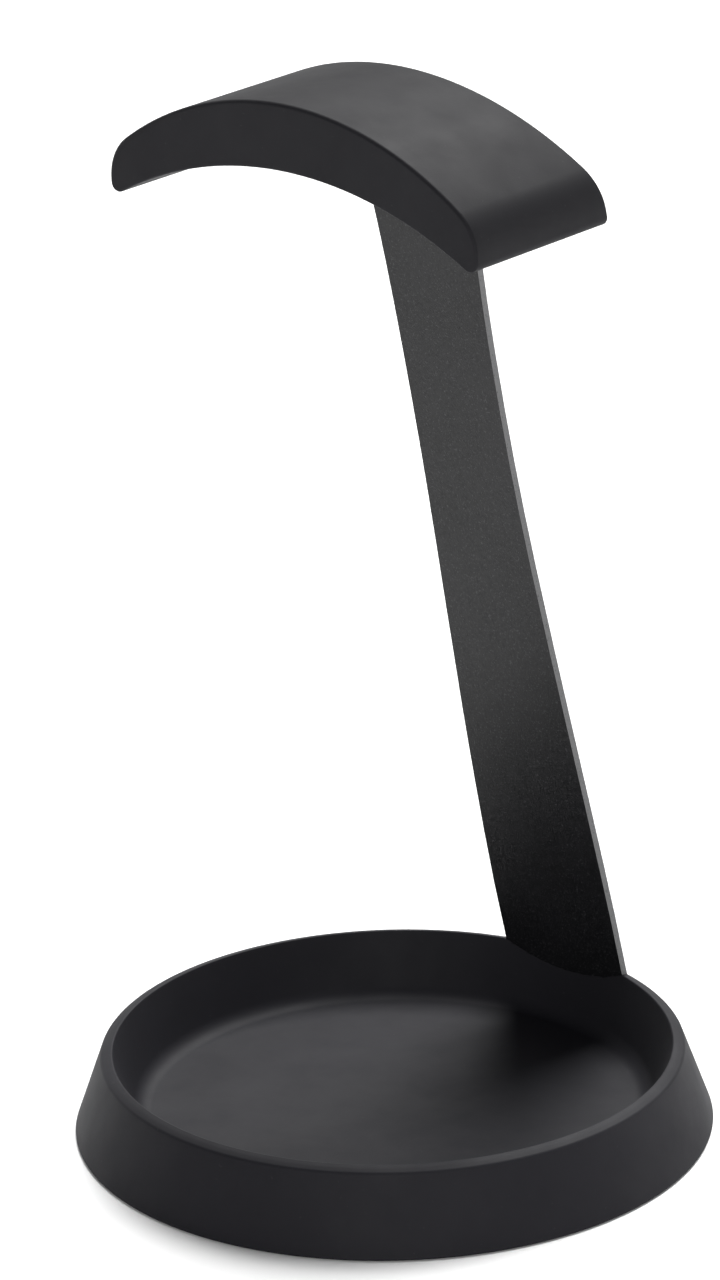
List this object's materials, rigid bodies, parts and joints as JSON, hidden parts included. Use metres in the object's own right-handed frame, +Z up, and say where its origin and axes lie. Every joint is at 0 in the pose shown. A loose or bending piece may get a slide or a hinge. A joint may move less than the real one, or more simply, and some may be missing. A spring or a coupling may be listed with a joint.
{
  "type": "headphone stand",
  "caption": "Free-standing headphone stand: round soft tray base with a raised sloping rim, slim waisted steel upright leaning forward, and an arched soft cradle for the headband.",
  "frame": {"origin": "centre of the tray's footprint, on the surface that it stands on", "axes": "+Z up; -Y is the front, towards which the upright leans; +X is the stand's right as seen in plan with the front at -Y"},
  "size_m": [0.1658, 0.1658, 0.2798],
  "materials": {
    "tray_rubber": "smooth soft matt, charcoal",
    "cradle_rubber": "smooth soft matt, charcoal",
    "powder_coated_steel": "black powder coat with fine texture",
    "pad_rubber": "matt, fine texture",
    "core_plastic": "moulded, matt",
    "insert_brass": "turned, knurled",
    "black_screw_steel": "black oxide"
  },
  "bodies": {
    "root": {"base_plate": "powder_coated_steel", "cradle_core": "core_plastic", "cradle_cover": "cradle_rubber", "cradle_insert_1": "insert_brass", "cradle_insert_2": "insert_brass", "cradle_insert_3": "insert_brass", "cradle_screw_1": "black_screw_steel", "cradle_screw_2": "black_screw_steel", "cradle_screw_3": "black_screw_steel", "cradle_washer_1": "black_screw_steel", "cradle_washer_2": "black_screw_steel", "cradle_washer_3": "black_screw_steel", "foot_pad": "pad_rubber", "foot_screw_1": "black_screw_steel", "foot_screw_2": "black_screw_steel", "foot_screw_3": "black_screw_steel", "foot_screw_4": "black_screw_steel", "tray": "tray_rubber", "upright": "powder_coated_steel"}
  },
  "joints": []
}
